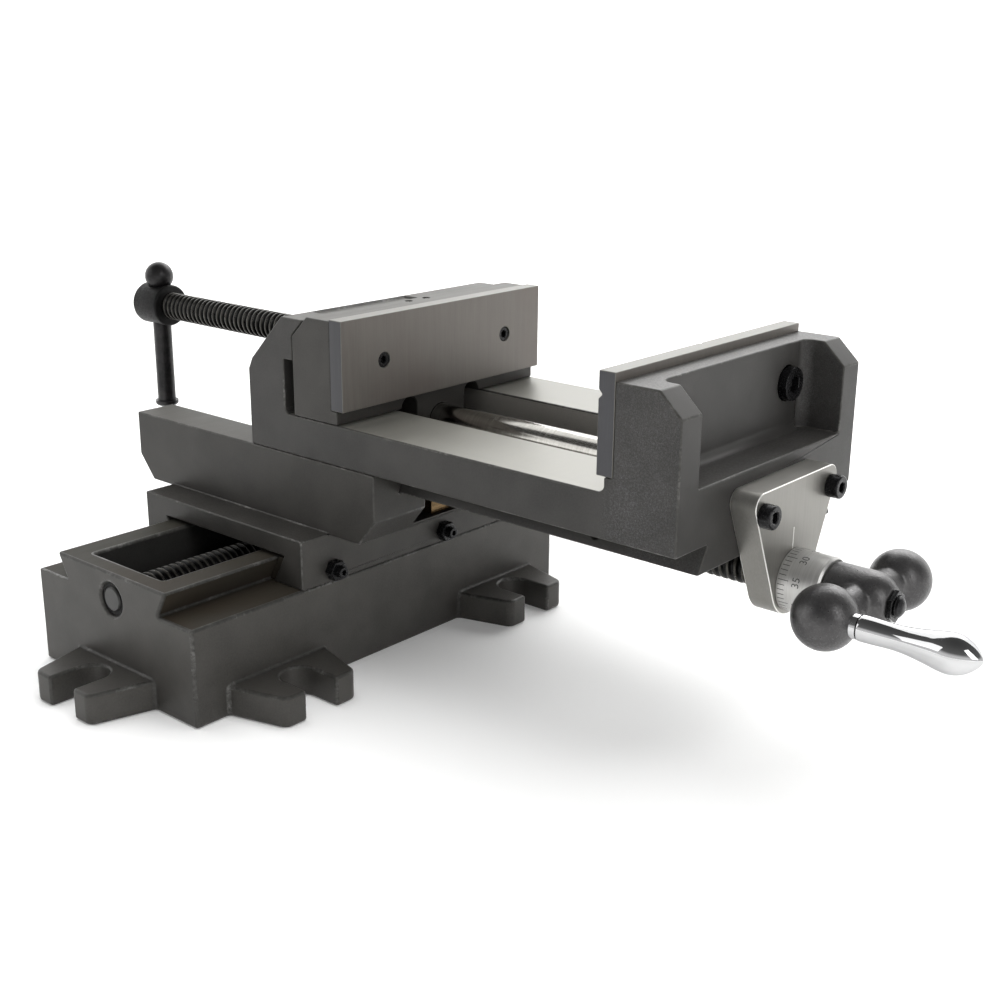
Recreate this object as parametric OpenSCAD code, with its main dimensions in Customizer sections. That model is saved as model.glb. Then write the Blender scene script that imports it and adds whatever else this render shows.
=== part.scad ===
// Compound machine vise: two crossed dovetail slides under a screw-clamped 150 mm jaw.
// Frame: origin at the middle of the base's underside, +Z up,
// +X along the jaw travel towards the fixed jaw, +Y along the base towards the lower crank.

/* [Base] */
// Width of the base across X
base_w = 127.6; // [127.6:0.2:130]
// Length of the base along Y
base_l = 269.6; // [268:0.4:274]
// Height of the base shoulder that the saddle slides on
base_h = 50.9; // [50.5:0.1:51.5]
// Height of the base's dovetail above the shoulder
base_dt_h = 13.7; // [13.3:0.1:14]
// Half width of the base's dovetail at its top
base_dt_half = 45; // [44:0.5:46]
// Half width of the open trough in the base
trough_half = 29; // [26:0.5:30]
// Thickness of the hold-down ears
ear_t = 16; // [12:1:18]
// Reach of an ear from the base
ear_l = 31.7; // [28:0.1:34]
// Width of the open slots for the hold-down bolts
slot_w = 19.4; // [16:0.2:20]

/* [Saddle] */
// Place of the saddle's centre along Y at rest
saddle_at = 27.7; // [0:0.1:40]
// Length of the saddle's lower flange along Y
flange_l = 186.6; // [184:0.2:188]
// Height of the top of the lower flange
flange_top = 77; // [76:0.5:78]
// Length of the saddle's upper block along X
block_l = 190; // [186:1:194]
// Offset of the upper block's middle from the base's middle plane
block_off = 2.4; // [0:0.2:3]
// Width of the upper block and of the vise body along Y
body_w = 150; // [150:0.5:152]
// Height of the top of the upper block
block_top = 113.9; // [113.5:0.1:114.5]

/* [Vise body] */
// Place of the vise body's middle along X at rest
body_at = 139.7; // [120:0.1:140]
// Length of the vise body along X
body_l = 265.2; // [265.2:0.2:268]
// Height of the jaw ways
way_z = 134.7; // [134.5:0.1:135]
// Half width of the slot between the ways
bed_slot_half = 32.2; // [30:0.2:33]
// Height of the top of the rear upright
upright_z = 184; // [183:0.5:184.5]
// Height of the fixed jaw's casting
cheek_z = 183; // [182:0.5:184]

/* [Jaws] */
// Opening between the jaw plates at rest
jaw_gap = 153.6; // [152:0.2:153.6]
// Thickness of a jaw plate
plate_t = 8.5; // [8:0.1:9]
// Height of a jaw plate
plate_h = 45; // [44:0.5:45.5]

/* [Screws] */
// Radius of the clamp screw's thread
clamp_r = 8.2; // [8:0.1:8.4]
// Height of the clamp screw's axis
clamp_z = 157; // [156.5:0.1:157.5]
// Radius of the two lead screws
lead_r = 8; // [7.6:0.1:8]
// Height of the upper lead screw's axis
upper_z = 88; // [87.8:0.1:88.4]
// Height of the lower lead screw's axis
lower_z = 50; // [49.6:0.1:50.2]
// Radius of the graduated dials
dial_r = 14.3; // [13:0.1:14.5]
// Radius of the crank balls
crank_ball_r = 14.3; // [13:0.1:14.5]
// Distance of a crank ball from the crank's axis
crank_arm = 35.2; // [34:0.1:36]

/* [Clamp handle] */
// Radius of the tommy bar
bar_r = 5.6; // [5.2:0.1:5.6]
// Radius of the tommy bar's ball
bar_ball_r = 8.7; // [8.2:0.1:8.8]

/* [Hidden] */
$fn = 48;
EPS = 0.02;           // overshoot of a cut past a face
SLIDE = 0.1;          // gap between sliding flat faces
RUN = 0.06;           // radial running clearance of shafts
NUT_RUN = 0.08;       // radial running clearance of a thread in its nut
DT_TAN = tan(29);     // lean of the dovetail flanks

// heights
base_top = base_h + base_dt_h;
base_dt_root = base_dt_half - base_dt_h * DT_TAN;
trough_floor = 30;
roof_z = base_top + 1.8;          // roof of the saddle's lower dovetail
floor_z = 101.3;                  // floor of the saddle's upper dovetail
channel_z = 79;                   // floor of the saddle's central channel
channel_half = 38.5;
gib_t = 4.4;                      // room for a gib, across its dovetail

// upper dovetail under the vise body
up_dt_root = 50.6;
up_dt_z = floor_z + 0.3;
up_dt_half = up_dt_root + (block_top - up_dt_z) * DT_TAN;

// vise body, in its own frame with X measured from its middle
half_l = body_l / 2;
body_bottom = block_top;
bed_floor = 107.4;
plate_back_x = 99.6;              // face that the fixed plate bears on
web_x = 111.3;                    // outer face of the fixed jaw's web
cheek_half = 60;                  // inner faces of the two cheeks
cheek_round = 6;                  // rounding from the web into the cheeks
ledge_z = 140.5;                  // floor of the recess between the cheeks
foot_round = 4.5;                 // fillet at the foot of the web
under_plate_x = 95.1;             // fixed jaw's front below its plate
upright_face_x = -105.2;          // front face of the rear upright
upright_lip_x = -98.5;            // front of the upright's overhanging lip
plate_z = 141.8;
fixed_face_x = plate_back_x - plate_t;
jaw_face_x = fixed_face_x - jaw_gap;
jaw_back_x = jaw_face_x - plate_t;
jaw_rear_x = upright_lip_x + 0.3;
jaw_top = 186;
keel_half = 18;
rod_r = 9;
rod_z = 124;
nut_r = 14;

// jaw plate screws
plate_screw_half = 46;
plate_screw_z = 163.8;

// clamp screw, X measured in the vise body's frame
head_x = -319.7;
head_l = 23;
head_r = 12.7;
nose_r = 6;
nose_x = jaw_back_x - 6;
bar_x = -307.5;
ball_z = 17.4;                    // ball centre above the screw axis at rest
bar_low = 61.8;                   // underside of the plain bar below the screw axis

// crank and bracket, measured outward from the face that the bracket is bolted to
bracket_t = 13;
bracket_bolt = 36.8;              // bolts of a bracket above the screw's axis
bracket_half = 29.3;              // centres of the bracket's rounded corners from its middle
bolt_y = [-bracket_half, bracket_half];
bolt_r = 3;
bracket_corner_r = 6;
dial_l = 19.7;
journal_r = 6.5;
bush_r = 10;
end_bush_r = 8.8;
hub_r = 12.9;
hub_l = 28.8;
crank_lean = -3;                  // turn of the upper crank about its screw at rest
grip_l = 54;
crank_ball_at = bracket_t + dial_l + 0.4 + 15;
upper_screw_l = 242.3;            // length of the upper screw inside its bracket
lower_screw_l = base_l - 10.5;

// gib screws
gib_screw_r = 3;
lower_gib_screws_y = [-72.2, 10.5, 78];
lower_gib_z = 57;
upper_gib_screws_x = [-68, 0, 68];
upper_gib_z = 107.6;

CAST = [0.33, 0.32, 0.31];
GROUND = [0.62, 0.60, 0.57];
STEEL = [0.66, 0.66, 0.67];
SATIN = [0.78, 0.78, 0.77];
CHROME = [0.85, 0.86, 0.87];
BLACK = [0.10, 0.10, 0.11];
BRONZE = [0.66, 0.47, 0.24];
CRANK = [0.36, 0.36, 0.37];

// ---------- helpers ----------

// points of an arc about (cx, cy)
function arc(cx, cy, r, a0, a1, n) =
    [for (i = [0:n]) [cx + r * cos(a0 + (a1 - a0) * i / n), cy + r * sin(a0 + (a1 - a0) * i / n)]];

// a bar along X with the given outline of [y, z] points, centred on x = 0
module bar_along_x(length, outline) {
    rotate([90, 0, 90])
        translate([0, 0, -length / 2])
            linear_extrude(length)
                polygon(outline);
}

// a bar along Y with the given outline of [x, z] points, centred on y = 0
module bar_along_y(length, outline) {
    rotate([90, 0, 0])
        translate([0, 0, -length / 2])
            linear_extrude(length)
                polygon(outline);
}

// a cylinder along X from x to x + length
module rod_x(x, y, z, r, length) {
    translate([x, y, z])
        rotate([0, 90, 0])
            cylinder(h = length, r = r);
}

// a cylinder along Y from y to y + length
module rod_y(x, y, z, r, length) {
    translate([x, y, z])
        rotate([-90, 0, 0])
            cylinder(h = length, r = r);
}

// a socket cap screw along +Z: head above z = 0, shank below
module cap_screw(head_r, head_h, shank_r, shank_l, key_r) {
    difference() {
        union() {
            cylinder(h = head_h, r = head_r);
            translate([0, 0, -shank_l])
                cylinder(h = shank_l, r = shank_r);
        }
        translate([0, 0, head_h / 2])
            cylinder(h = head_h, r = key_r, $fn = 6);
    }
}

// a socket set screw along +Z with its tip at z = 0
module set_screw(r, length, key_r) {
    difference() {
        cylinder(h = length, r = r);
        translate([0, 0, length - r])
            cylinder(h = r + EPS, r = key_r, $fn = 6);
    }
}

// a hexagon nut with a plain bore, from z = 0 up
module hex_nut(across_r, height, bore_r) {
    difference() {
        cylinder(h = height, r = across_r, $fn = 6);
        translate([0, 0, -EPS])
            cylinder(h = height + 2 * EPS, r = bore_r);
    }
}

// places its children in the frame of one body
module on_saddle() {
    translate([0, saddle_at, 0]) children();
}

module on_body() {
    translate([body_at, saddle_at, 0]) children();
}

// crank frames: local +Z points outward along the screw, arms lie along local Y
module on_upper_screw() {
    on_body()
        translate([half_l, 0, upper_z])
            rotate([0, 90, 0])
                children();
}

module on_lower_screw() {
    translate([0, base_l / 2, lower_z])
        rotate([-90, 0, 0])
            rotate([0, 0, 90])
                children();
}

// ---------- base ----------

// an ear with an open bolt slot, reaching along +X from x = 0
module ear() {
    tip = 24;
    root = 32;
    corner = 5;
    end_r = slot_w / 2;
    difference() {
        translate([-4, 0, 0])
            linear_extrude(ear_t)
                polygon(concat(
                    [[0, -root - 1], [4, -root]],
                    arc(ear_l + 4 - corner, -tip + corner, corner, -75, 0, 5),
                    arc(ear_l + 4 - corner, tip - corner, corner, 0, 75, 5),
                    [[4, root], [0, root + 1]]
                ));
        translate([15.2, 0, -1])
            cylinder(h = ear_t + 2, r = end_r);
        translate([15.2, -end_r, -1])
            cube([ear_l, slot_w, ear_t + 2]);
    }
}

module base_casting() {
    color(CAST)
    difference() {
        union() {
            translate([-base_w / 2, -base_l / 2, 0])
                cube([base_w, base_l, base_h]);
            bar_along_y(base_l, [
                [-base_dt_root, base_h - 1], [base_dt_root, base_h - 1],
                [base_dt_root, base_h], [base_dt_half, base_top],
                [-base_dt_half, base_top], [-base_dt_root, base_h]
            ]);
            for (y = [-83, 83], side = [0, 180])
                rotate([0, 0, side])
                    translate([base_w / 2, side == 0 ? y : -y, 0])
                        ear();
            translate([0, -base_l / 2, 0])
                rotate([0, 0, -90])
                    ear();
        }
        translate([-trough_half, -base_l / 2 + 10.5, trough_floor])
            cube([2 * trough_half, base_l - 21, base_top]);
        rod_y(0, -base_l / 2 - 1, lower_z, end_bush_r, 13);
        rod_y(0, base_l / 2 - 12, lower_z, lead_r + 1, 14);
        for (y = bolt_y)
            rod_y(-y, base_l / 2 - 10.4, lower_z - bracket_bolt, bolt_r, 12);
    }
}

module lower_end_bush() {
    color(BRONZE)
    difference() {
        rod_y(0, -base_l / 2 + 1.5, lower_z, end_bush_r, 9);
        rod_y(0, -base_l / 2 - 1, lower_z, journal_r + RUN, 13);
    }
}

// ---------- brackets, dials and cranks, in the crank frame ----------

// tangent points that join a circle of radius ra at the origin to one of radius rb at p
function tangent(ra, rb, p, side) =
    let (d = norm(p), phi = atan2(p[1], p[0]), t = phi + side * acos((ra - rb) / d))
    [[ra * cos(t), ra * sin(t)], [p[0] + rb * cos(t), p[1] + rb * sin(t)]];

// triangular plate whose two bolts lie on the given side of the screw
module bracket(side, nose_r) {
    p = [side * (bracket_bolt + 3.7), bracket_half];
    q = [p[0], -p[1]];
    a = tangent(nose_r, bracket_corner_r, p, side);
    b = tangent(nose_r, bracket_corner_r, q, -side);
    top = p[0] + side * bracket_corner_r;
    color(SATIN)
    difference() {
        union() {
            cylinder(h = bracket_t, r = nose_r);
            for (c = [p, q])
                translate([c[0], c[1], 0])
                    cylinder(h = bracket_t, r = bracket_corner_r);
            linear_extrude(bracket_t)
                polygon([a[0], a[1], p, [top, p[1]], [top, q[1]], q, b[1], b[0], [0, 0]]);
        }
        translate([0, 0, -1])
            cylinder(h = bracket_t + 2, r = bush_r);
        for (y = bolt_y)
            translate([side * bracket_bolt, y, -1])
                cylinder(h = bracket_t + 2, r = bolt_r + 0.3);
    }
}

module bracket_bush() {
    color(BRONZE)
    difference() {
        cylinder(h = bracket_t, r = bush_r);
        translate([0, 0, -1])
            cylinder(h = bracket_t + 2, r = journal_r + RUN);
    }
}

module bracket_screws(side) {
    color(BLACK)
    for (y = bolt_y)
        translate([side * bracket_bolt, y, bracket_t])
            cap_screw(5.4, 6.2, bolt_r, 22.3, 2.6);
}

// the screw: thread below z = 0, journal and crank seat above; tail is its far journal
module lead_screw(thread_l, tail_l) {
    color(BLACK)
    union() {
        translate([0, 0, -thread_l])
            cylinder(h = thread_l - 0.3, r = lead_r);
        translate([0, 0, -0.3 - EPS])
            cylinder(h = bracket_t + dial_l + 1.1, r = journal_r);
        translate([0, 0, bracket_t + dial_l])
            cylinder(h = hub_l + 5.2, r = 5);
        if (tail_l > 0)
            translate([0, 0, -thread_l - tail_l])
                cylinder(h = tail_l + 1, r = journal_r);
    }
}

module dial() {
    color(SATIN)
    difference() {
        union() {
            translate([0, 0, bracket_t + 0.2])
                cylinder(h = dial_l - 0.8, r = dial_r);
            translate([0, 0, bracket_t + dial_l - 0.6])
                cylinder(h = 0.9, r1 = dial_r, r2 = dial_r - 0.9);
        }
        translate([0, 0, bracket_t - 1])
            cylinder(h = dial_l + 3, r = journal_r);
        translate([0, 0, bracket_t + dial_l - 5])
            rotate([0, 90, 0])
                cylinder(h = dial_r + 1, r = 2);
    }
}

// set screw that locks the dial, lying along local +X
module dial_screw() {
    color(BLACK)
    translate([journal_r, 0, bracket_t + dial_l - 5])
        rotate([0, 90, 0])
            set_screw(2, dial_r - journal_r - 0.6, 1);
}

// three-ball crank: barrel hub between two balls
module ball_crank() {
    z0 = bracket_t + dial_l + 0.4;
    neck = 8.2;
    color(CRANK)
    difference() {
        union() {
            translate([0, 0, z0])
                rotate_extrude()
                    polygon([
                        [0, 0], [hub_r - 0.8, 0], [hub_r, 0.8], [hub_r, 20],
                        [hub_r - 0.9, 23.4], [hub_r - 2.7, 26.2], [hub_r - 5.2, 28.4], [0, 28.4]
                    ]);
            for (y = [-1, 1])
                translate([0, y * crank_arm, crank_ball_at])
                    rotate([90, 0, 0])
                        sphere(r = crank_ball_r, $fn = 64);
            translate([0, -crank_arm + 6, crank_ball_at])
                rotate([-90, 0, 0])
                    cylinder(h = 2 * crank_arm - 12, r = neck);
        }
        translate([0, 0, z0 - 1])
            cylinder(h = 2, r = journal_r);
        translate([0, 0, z0 - 1])
            cylinder(h = hub_l + 2, r = 5);
        translate([0, -crank_arm, crank_ball_at + 2])
            cylinder(h = crank_ball_r, r = 3.5);
        translate([0, -crank_arm, crank_ball_at + crank_ball_r - 1.5])
            cylinder(h = 3, r = 5.4);
    }
}

module crank_nut() {
    color(BLACK)
    translate([0, 0, bracket_t + dial_l + hub_l + 0.1])
        difference() {
            cylinder(h = 2, r = 7.4, $fn = 6);
            translate([0, 0, -1])
                cylinder(h = 4, r = 5);
        }
}

// collared pin that carries the revolving grip
module grip_spindle() {
    seat = crank_ball_at + crank_ball_r;
    color(CHROME)
    translate([0, -crank_arm, 0])
        union() {
            translate([0, 0, crank_ball_at + 2])
                cylinder(h = crank_ball_r - 1, r = 3.5);
            translate([0, 0, seat - 1.5])
                cylinder(h = 3, r = 5.3);
            translate([0, 0, seat + 1])
                cylinder(h = grip_l - 18, r = 2.6);
        }
}

// swelling hand grip with a pointed end, hollow for its spindle
module crank_grip() {
    z0 = crank_ball_at + crank_ball_r + 1.7;
    l = grip_l - 2.7;
    full = l * 0.74;
    color(CHROME)
    translate([0, -crank_arm, z0])
        difference() {
            rotate_extrude()
                polygon(concat(
                    [[0, 0], [5.4, 0], [5.7, 0.3]],
                    [for (i = [1:12])
                        let (t = i / 12) [5.7 + 3 * pow(t, 1.8) * (2.6 - 1.6 * t), 0.3 + t * (full - 0.3)]],
                    [for (i = [1:9])
                        let (t = i / 9) [8.7 * (1 - pow(t, 2.1)), full + t * (l - full)]]
                ));
            translate([0, 0, -1])
                cylinder(h = grip_l - 17, r = 2.6 + RUN);
        }
}

module lower_screw_bracket() {
    on_lower_screw() bracket(1, 13.8);
}

module lower_bracket_bush() {
    on_lower_screw() bracket_bush();
}

module lower_bracket_screws() {
    on_lower_screw() bracket_screws(1);
}

module lower_lead_screw() {
    on_lower_screw() lead_screw(lower_screw_l, 10);
}

module lower_dial() {
    on_lower_screw() dial();
}

module lower_dial_screw() {
    on_lower_screw() dial_screw();
}

module lower_ball_crank() {
    on_lower_screw() ball_crank();
}

module lower_crank_nut() {
    on_lower_screw() crank_nut();
}

module lower_grip_spindle() {
    on_lower_screw() grip_spindle();
}

module lower_crank_grip() {
    on_lower_screw() crank_grip();
}

// ---------- saddle ----------

module saddle_casting() {
    slope = base_dt_h * DT_TAN;
    root = base_dt_root + SLIDE;
    rise = (roof_z - base_h) * DT_TAN;
    up_open = up_dt_root + SLIDE;
    up_rise = (block_top - floor_z) * DT_TAN;
    corner = 11.2;
    color(CAST)
    on_saddle()
    difference() {
        union() {
            translate([-base_w / 2, -flange_l / 2, base_h])
                cube([base_w, flange_l, flange_top - base_h]);
            translate([block_off, 0, 0])
                bar_along_y(body_w, [
                    [-block_l / 2, 89.5], [-block_l / 2 + corner, flange_top - 1],
                    [block_l / 2 - corner, flange_top - 1], [block_l / 2, 89.5],
                    [block_l / 2, block_top], [-block_l / 2, block_top]
                ]);
        }
        // lower dovetail, wider on the +X side for its gib
        bar_along_y(flange_l + 2, [
            [-root, base_h], [-root - rise, roof_z],
            [root + rise + gib_t, roof_z], [root + gib_t, base_h],
            [root + gib_t, base_h - 2], [-root, base_h - 2]
        ]);
        // upper dovetail, wider on the +Y side for its gib
        translate([block_off, 0, 0])
            bar_along_x(block_l + 2, [
                [-up_open, block_top + 2], [-up_open, block_top], [-up_open - up_rise, floor_z],
                [up_open + up_rise + gib_t, floor_z], [up_open + gib_t, block_top],
                [up_open + gib_t, block_top + 2]
            ]);
        translate([block_off - block_l / 2 - 1, -channel_half, channel_z])
            cube([block_l + 2, 2 * channel_half, floor_z]);
        for (y = lower_gib_screws_y)
            rod_x(base_dt_root + gib_t - 2, y, lower_gib_z, gib_screw_r, 30);
        for (x = upper_gib_screws_x)
            rod_y(x + block_off, up_dt_root + gib_t - 2, upper_gib_z, gib_screw_r, 30);
        for (x = [-1, 1]) {
            translate([x * 13, 0, roof_z - 1])
                cylinder(h = 20, r = 3.2);
            translate([x * 13, 0, channel_z - 6.6])
                cylinder(h = 20, r = 5.2);
        }
        for (y = [-1, 1])
            translate([70, y * 14.5, channel_z - 9])
                cylinder(h = 10, r = 3);
    }
}

module lower_nut() {
    color(BRONZE)
    on_saddle()
    difference() {
        translate([-19, -16, 33])
            cube([38, 32, roof_z - 33]);
        rod_y(0, -17, lower_z, lead_r + NUT_RUN, 34);
        for (x = [-1, 1])
            translate([x * 13, 0, roof_z - 14])
                cylinder(h = 15, r = 3);
    }
}

module lower_nut_screws() {
    color(BLACK)
    on_saddle()
    for (x = [-1, 1])
        translate([x * 13, 0, channel_z - 6.6])
            cap_screw(5, 6, 3, 18, 2.6);
}

module upper_nut() {
    color(BRONZE)
    on_saddle()
    difference() {
        translate([55, -21, channel_z])
            cube([30, 42, 21.6]);
        rod_x(54, 0, upper_z, lead_r + NUT_RUN, 32);
        for (y = [-1, 1]) {
            translate([70, y * 14.5, channel_z - 1])
                cylinder(h = 30, r = 3);
            translate([70, y * 14.5, channel_z + 15])
                cylinder(h = 30, r = 5.2);
        }
    }
}

module upper_nut_screws() {
    color(BLACK)
    on_saddle()
    for (y = [-1, 1])
        translate([70, y * 14.5, channel_z + 15])
            cap_screw(5, 6, 3, 23, 2.6);
}

// a gib strip: parallelogram [across, z] from the male flank to the female flank
module lower_gib() {
    root = base_dt_root + 2 * SLIDE;
    lean = (base_top - base_h - 0.4) * DT_TAN;
    color(STEEL)
    on_saddle()
        difference() {
            bar_along_y(flange_l - 3, [
                [root, base_h + 0.2], [root + gib_t - SLIDE, base_h + 0.2],
                [root + gib_t - SLIDE + lean, base_top - 0.2], [root + lean, base_top - 0.2]
            ]);
            for (y = lower_gib_screws_y)
                rod_x(base_dt_root + 6.4, y, lower_gib_z, gib_screw_r, 10);
        }
}

module lower_gib_screws() {
    color(BLACK)
    on_saddle()
    for (y = lower_gib_screws_y)
        translate([base_dt_root + 6.4, y, lower_gib_z])
            rotate([0, 90, 0])
                set_screw(gib_screw_r, 28.4, 1.5);
}

module lower_gib_locknuts() {
    color(BLACK)
    on_saddle()
    for (y = lower_gib_screws_y)
        translate([base_w / 2, y, lower_gib_z])
            rotate([0, 90, 0])
                rotate([0, 0, 30])
                    hex_nut(5.7, 5, gib_screw_r);
}

module upper_gib() {
    root = up_dt_root + 2 * SLIDE;
    lean = (block_top - up_dt_z - 0.4) * DT_TAN;
    color(STEEL)
    on_saddle()
        difference() {
            translate([block_off, 0, 0])
                bar_along_x(block_l - 3, [
                    [root + lean, up_dt_z + 0.2], [root + lean + gib_t - SLIDE, up_dt_z + 0.2],
                    [root + gib_t - SLIDE, block_top - 0.2], [root, block_top - 0.2]
                ]);
            for (x = upper_gib_screws_x)
                rod_y(x + block_off, up_dt_root + 6.6, upper_gib_z, gib_screw_r, 10);
        }
}

module upper_gib_screws() {
    color(BLACK)
    on_saddle()
    for (x = upper_gib_screws_x)
        translate([x + block_off, up_dt_root + 6.6, upper_gib_z])
            rotate([-90, 0, 0])
                set_screw(gib_screw_r, 26, 1.5);
}

module upper_gib_locknuts() {
    color(BLACK)
    on_saddle()
    for (x = upper_gib_screws_x)
        translate([x + block_off, body_w / 2, upper_gib_z])
            rotate([-90, 0, 0])
                hex_nut(5.7, 5, gib_screw_r);
}

// ---------- vise body ----------

// side view of the body with its rear upright and the cheeks of its fixed jaw
function body_outline() = [
    [-half_l, body_bottom], [half_l, body_bottom], [half_l, cheek_z - 10.6],
    [half_l - 11.3, cheek_z], [plate_back_x, cheek_z], [plate_back_x, plate_z - 0.2],
    [under_plate_x, plate_z - 0.2], [under_plate_x, way_z + 2], [under_plate_x - 2, way_z],
    [upright_face_x + 2, way_z], [upright_face_x, way_z + 2], [upright_face_x, 162.6],
    [upright_lip_x, 162.6], [upright_lip_x, 175.4], [upright_lip_x + 8.6, upright_z],
    [-half_l + 26.6, upright_z], [-half_l + 3, 160], [-half_l, 154]
];

module vise_body_casting() {
    rod_end_x = -half_l + 10;
    color(CAST)
    on_body()
    difference() {
        union() {
            rotate([90, 0, 0])
                translate([0, 0, -body_w / 2])
                    linear_extrude(body_w)
                        polygon(body_outline());
            bar_along_x(body_l, [
                [-up_dt_half, up_dt_z], [up_dt_half, up_dt_z], [up_dt_root, body_bottom],
                [up_dt_root, body_bottom + 1], [-up_dt_root, body_bottom + 1],
                [-up_dt_root, body_bottom]
            ]);
        }
        // slot between the ways
        translate([upright_face_x + 0.01, -bed_slot_half, bed_floor])
            cube([under_plate_x - upright_face_x - 0.02, 2 * bed_slot_half, 60]);
        // recess between the cheeks, rounded into them
        translate([0, 0, ledge_z])
            linear_extrude(60)
                polygon(concat(
                    [[half_l + 1, -cheek_half]],
                    [for (q = arc(web_x + cheek_round, -cheek_half + cheek_round, cheek_round, 270, 180, 8)) q],
                    [for (q = arc(web_x + cheek_round, cheek_half - cheek_round, cheek_round, 180, 90, 8)) q],
                    [[half_l + 1, cheek_half]]
                ));
        // shallow pocket on top of the upright
        translate([-half_l + 28, -55, upright_z - 1.2])
            cube([30, 67, 5]);
        // upright: bore for the nut, clearance for the screw
        rod_x(-half_l - 1, 0, clamp_z, nut_r, body_l / 2 - 60);
        // guide rod: blind in the upright, through the fixed end
        rod_x(rod_end_x, 0, rod_z, rod_r, body_l);
        // jaw plate screws, counterbored from the recess
        for (y = [-1, 1]) {
            rod_x(plate_back_x - 1, y * plate_screw_half, plate_screw_z, 5.3, 30);
            rod_x(web_x - 4, y * plate_screw_half, plate_screw_z, 8.4, 30);
        }
        // bracket bolts
        for (y = bolt_y)
            rod_x(half_l - 10.4, y, upper_z + bracket_bolt, bolt_r, 20);
        // stop screw hole in the near flank of the dovetail
        rod_y(77, -up_dt_half - 2, 107.5, 2.6, 16);
    }
    // fillet along the foot of the web
    color(CAST)
    on_body()
        bar_along_y(2 * cheek_half - 2 * cheek_round, concat(
            [[web_x - 1, ledge_z - 1], [web_x + foot_round, ledge_z - 1]],
            arc(web_x + foot_round, ledge_z + foot_round, foot_round, 270, 180, 6),
            [[web_x - 1, ledge_z + foot_round]]
        ));
}

module clamp_nut() {
    color(BRONZE)
    on_body()
    difference() {
        rod_x(-half_l, 0, clamp_z, nut_r, upright_face_x + half_l);
        rod_x(-half_l - 1, 0, clamp_z, clamp_r + NUT_RUN, 40);
    }
}

module guide_rod() {
    color(STEEL)
    on_body()
        rod_x(-half_l + 10, 0, rod_z, rod_r, body_l - 10);
}

module fixed_jaw_plate() {
    groove = 2;
    color(GROUND)
    on_body()
    difference() {
        translate([fixed_face_x, -body_w / 2, plate_z])
            cube([plate_t, body_w, plate_h]);
        // V groove along the plate, and one down its middle
        translate([fixed_face_x, 0, 176.7])
            rotate([0, 45, 0])
                cube([groove * 1.41, body_w + 2, groove * 1.41], center = true);
        translate([fixed_face_x, 0, plate_z + plate_h / 2])
            rotate([0, 0, 45])
                cube([groove * 1.41, groove * 1.41, plate_h + 2], center = true);
        for (y = [-1, 1])
            rod_x(plate_back_x - 6, y * plate_screw_half, plate_screw_z, 5, 10);
    }
}

module fixed_jaw_screws() {
    color(BLACK)
    on_body()
    for (y = [-1, 1])
        translate([web_x - 4, y * plate_screw_half, plate_screw_z])
            rotate([0, 90, 0])
                cap_screw(8, 8, 5, 13, 4.4);
}

module upper_screw_bracket() {
    on_upper_screw() bracket(-1, 16.5);
}

module upper_bracket_bush() {
    on_upper_screw() bracket_bush();
}

module upper_bracket_screws() {
    on_upper_screw() bracket_screws(-1);
}

module upper_lead_screw() {
    on_upper_screw() lead_screw(upper_screw_l, 0);
}

module upper_dial() {
    on_upper_screw() dial();
}

module upper_dial_screw() {
    on_upper_screw() dial_screw();
}

module upper_ball_crank() {
    on_upper_screw() rotate([0, 0, crank_lean]) ball_crank();
}

module upper_crank_nut() {
    on_upper_screw() rotate([0, 0, crank_lean]) crank_nut();
}

module upper_grip_spindle() {
    on_upper_screw() rotate([0, 0, crank_lean]) grip_spindle();
}

module upper_crank_grip() {
    on_upper_screw() rotate([0, 0, crank_lean]) crank_grip();
}

// ---------- movable jaw ----------

function jaw_outline() = [
    [jaw_rear_x, way_z + SLIDE], [jaw_back_x + 4, way_z + SLIDE], [jaw_back_x + 4, plate_z - 0.2],
    [jaw_back_x, plate_z - 0.2], [jaw_back_x, jaw_top], [jaw_rear_x + 10.8, jaw_top],
    [jaw_rear_x, jaw_top - 10.8]
];

module movable_jaw_casting() {
    arch_r = 5.8;
    depth = jaw_back_x + 4 - jaw_rear_x;
    color(CAST)
    on_body()
    difference() {
        union() {
            rotate([90, 0, 0])
                translate([0, 0, -body_w / 2])
                    linear_extrude(body_w)
                        polygon(jaw_outline());
            translate([jaw_rear_x, -keel_half, bed_floor + 1])
                cube([depth, 2 * keel_half, way_z - bed_floor]);
        }
        for (y = [-1, 1])
            rod_x(jaw_rear_x - 1, y * (keel_half + arch_r), way_z, arch_r, depth + 2);
        rod_x(jaw_rear_x - 1, 0, rod_z, rod_r + RUN, depth + 2);
        // blind bore for the clamp screw's nose, and the two pins that hold it
        rod_x(jaw_rear_x - 1, 0, clamp_z, clamp_r + 0.4, 9);
        rod_x(jaw_rear_x - 1, 0, clamp_z, nose_r + RUN, nose_x - jaw_rear_x + 1.6);
        for (y = [-1, 1]) {
            translate([jaw_rear_x + 14.5, y * 6.6, clamp_z - 9])
                cylinder(h = 60, r = 2);
            rod_x(jaw_back_x - 14, y * plate_screw_half, plate_screw_z, 3, 20);
        }
    }
}

module movable_jaw_plate() {
    color(GROUND)
    on_body()
    difference() {
        translate([jaw_back_x, -body_w / 2, plate_z])
            cube([plate_t, body_w, plate_h]);
        for (y = [-1, 1]) {
            rod_x(jaw_back_x - 1, y * plate_screw_half, plate_screw_z, 3.2, 20);
            rod_x(jaw_back_x + 1.8, y * plate_screw_half, plate_screw_z, 4, 20);
        }
    }
}

module movable_jaw_screws() {
    color(BLACK)
    on_body()
    for (y = [-1, 1])
        translate([jaw_back_x + 1.8, y * plate_screw_half, plate_screw_z])
            rotate([0, 90, 0])
                cap_screw(3.8, 6, 3, 15.8, 2.1);
}

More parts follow.
